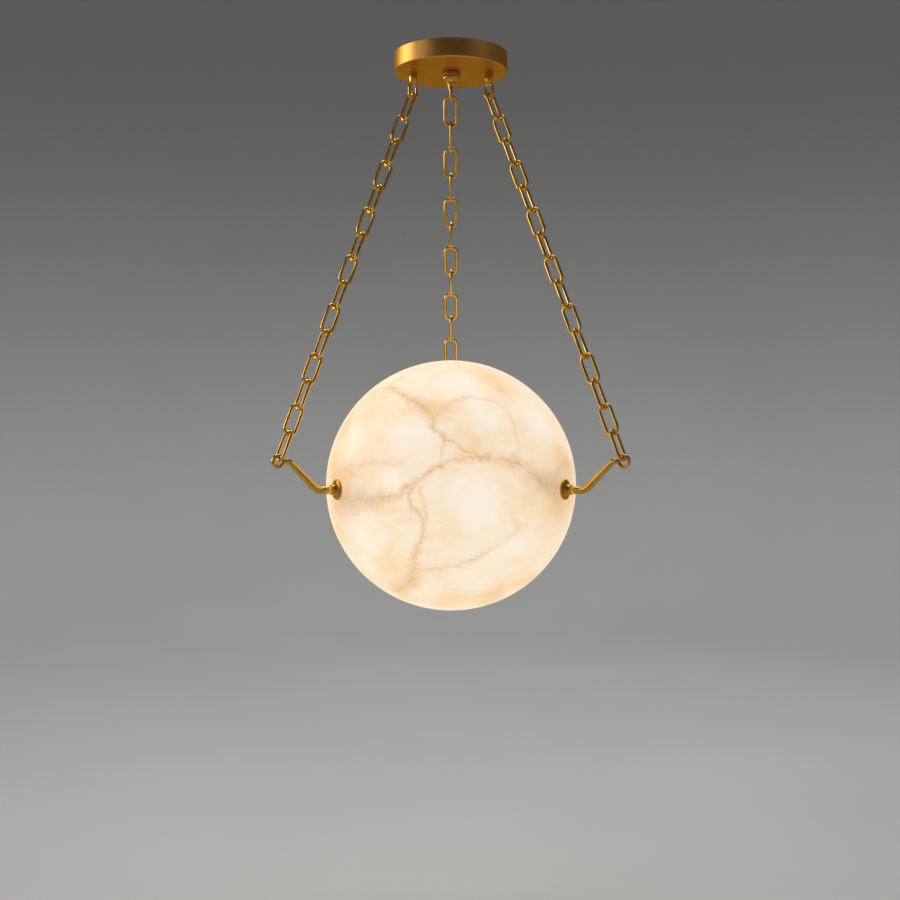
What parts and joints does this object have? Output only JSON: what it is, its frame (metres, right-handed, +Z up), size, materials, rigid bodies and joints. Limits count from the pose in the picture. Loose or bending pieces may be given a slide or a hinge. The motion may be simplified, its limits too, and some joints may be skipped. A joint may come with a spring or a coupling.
{
  "type": "alabaster pendant light",
  "caption": "Glowing alabaster globe hung on brass chains from a round satin brass ceiling canopy, with S-shaped ring-ended arms, flared rosettes, a lift-off stone lid and a lamp inside",
  "frame": {"origin": "on the ceiling plane, at the middle of the canopy", "axes": "+Z up against the ceiling, the viewer at -Y, one arm at the back along +Y, two in front"},
  "size_m": [0.4016, 0.3799, 0.6683],
  "materials": {
    "satin_brass": "satin brushed",
    "alabaster": "polished, lit from inside",
    "zinc_steel": "zinc plated",
    "clear_rubber": "translucent",
    "connector_plastic": "matte",
    "ground_green": "green plated",
    "white_ceramic": "glazed",
    "nickel_cap": "nickel",
    "opal_glass": "opal"
  },
  "bodies": {
    "canopy": {"canopy_dish": "satin_brass", "ceiling_bracket": "zinc_steel", "load_bar": "zinc_steel", "canopy_nipple": "zinc_steel", "nipple_locknut": "zinc_steel", "screw_collar": "satin_brass", "middle_loop": "satin_brass", "side_loop_left": "satin_brass", "side_loop_right": "satin_brass", "side_loop_washers": "zinc_steel", "side_loop_nuts": "zinc_steel", "wire_connector": "connector_plastic", "ground_screw": "ground_green"},
    "top_links": {"top_link_left": "satin_brass", "top_link_right": "satin_brass", "top_link_back": "satin_brass"},
    "left_chain": {"chain_left": "satin_brass"},
    "right_chain": {"chain_right": "satin_brass"},
    "back_chain": {"chain_back": "satin_brass"},
    "lid": {"globe_lid": "alabaster"},
    "lamp": {"bulb_cap": "nickel_cap", "bulb_glass": "opal_glass"},
    "globe": {"globe_shell": "alabaster", "rosette_gaskets": "clear_rubber", "inner_pads": "clear_rubber", "stud_washers": "zinc_steel", "stud_nuts": "zinc_steel", "lamp_hub": "zinc_steel", "hub_screws": "zinc_steel", "holder_nipple": "zinc_steel", "holder_nut": "zinc_steel", "lamp_holder": "white_ceramic", "cord_inlet": "satin_brass", "inlet_nut": "satin_brass", "arm_left": "satin_brass", "rosette_left": "satin_brass", "frame_strap_left": "zinc_steel", "arm_right": "satin_brass", "rosette_right": "satin_brass", "frame_strap_right": "zinc_steel", "arm_back": "satin_brass", "rosette_back": "satin_brass", "frame_strap_back": "zinc_steel"}
  },
  "joints": [
    {"name": "pendant_swing", "type": "hinge", "parent": "canopy", "child": "top_links", "pos_m": [0, 0, -0.049], "axis": [1, 0, 0], "range_deg": [-20, 20]},
    {"name": "pendant_sway", "type": "hinge", "parent": "top_links", "child": "back_chain", "pos_m": [0, 0.01602, -0.07981], "axis": [0, 1, 0], "range_deg": [-6, 6]},
    {"name": "left_chain_sway", "type": "hinge", "parent": "top_links", "child": "left_chain", "pos_m": [-0.05646, -0.00816, -0.07802], "axis": [0, 1, 0], "range_deg": [-5.92, 5.92]},
    {"name": "right_chain_sway", "type": "hinge", "parent": "top_links", "child": "right_chain", "pos_m": [0.05646, -0.00816, -0.07802], "axis": [0, 1, 0], "range_deg": [-5.92, 5.92]},
    {"name": "globe_levelling", "type": "hinge", "parent": "back_chain", "child": "globe", "pos_m": [0, 0.2197, -0.47149], "axis": [0, 1, 0], "range_deg": [-1.83, 1.83]},
    {"name": "lid_lift", "type": "slide", "parent": "globe", "child": "lid", "axis": [0, -0.0412, 0.9991], "range_m": [0, 0.11]},
    {"name": "lamp_turn", "type": "hinge", "parent": "globe", "child": "lamp", "pos_m": [0, 0, -0.51832], "axis": [0, -0.0412, 0.9991], "continuous": true}
  ],
  "couplings": [
    {"joint": "left_chain_sway", "follows": "pendant_sway", "ratio": 0.9854},
    {"joint": "right_chain_sway", "follows": "pendant_sway", "ratio": 0.9854},
    {"joint": "globe_levelling", "follows": "pendant_sway", "ratio": -0.30436}
  ]
}
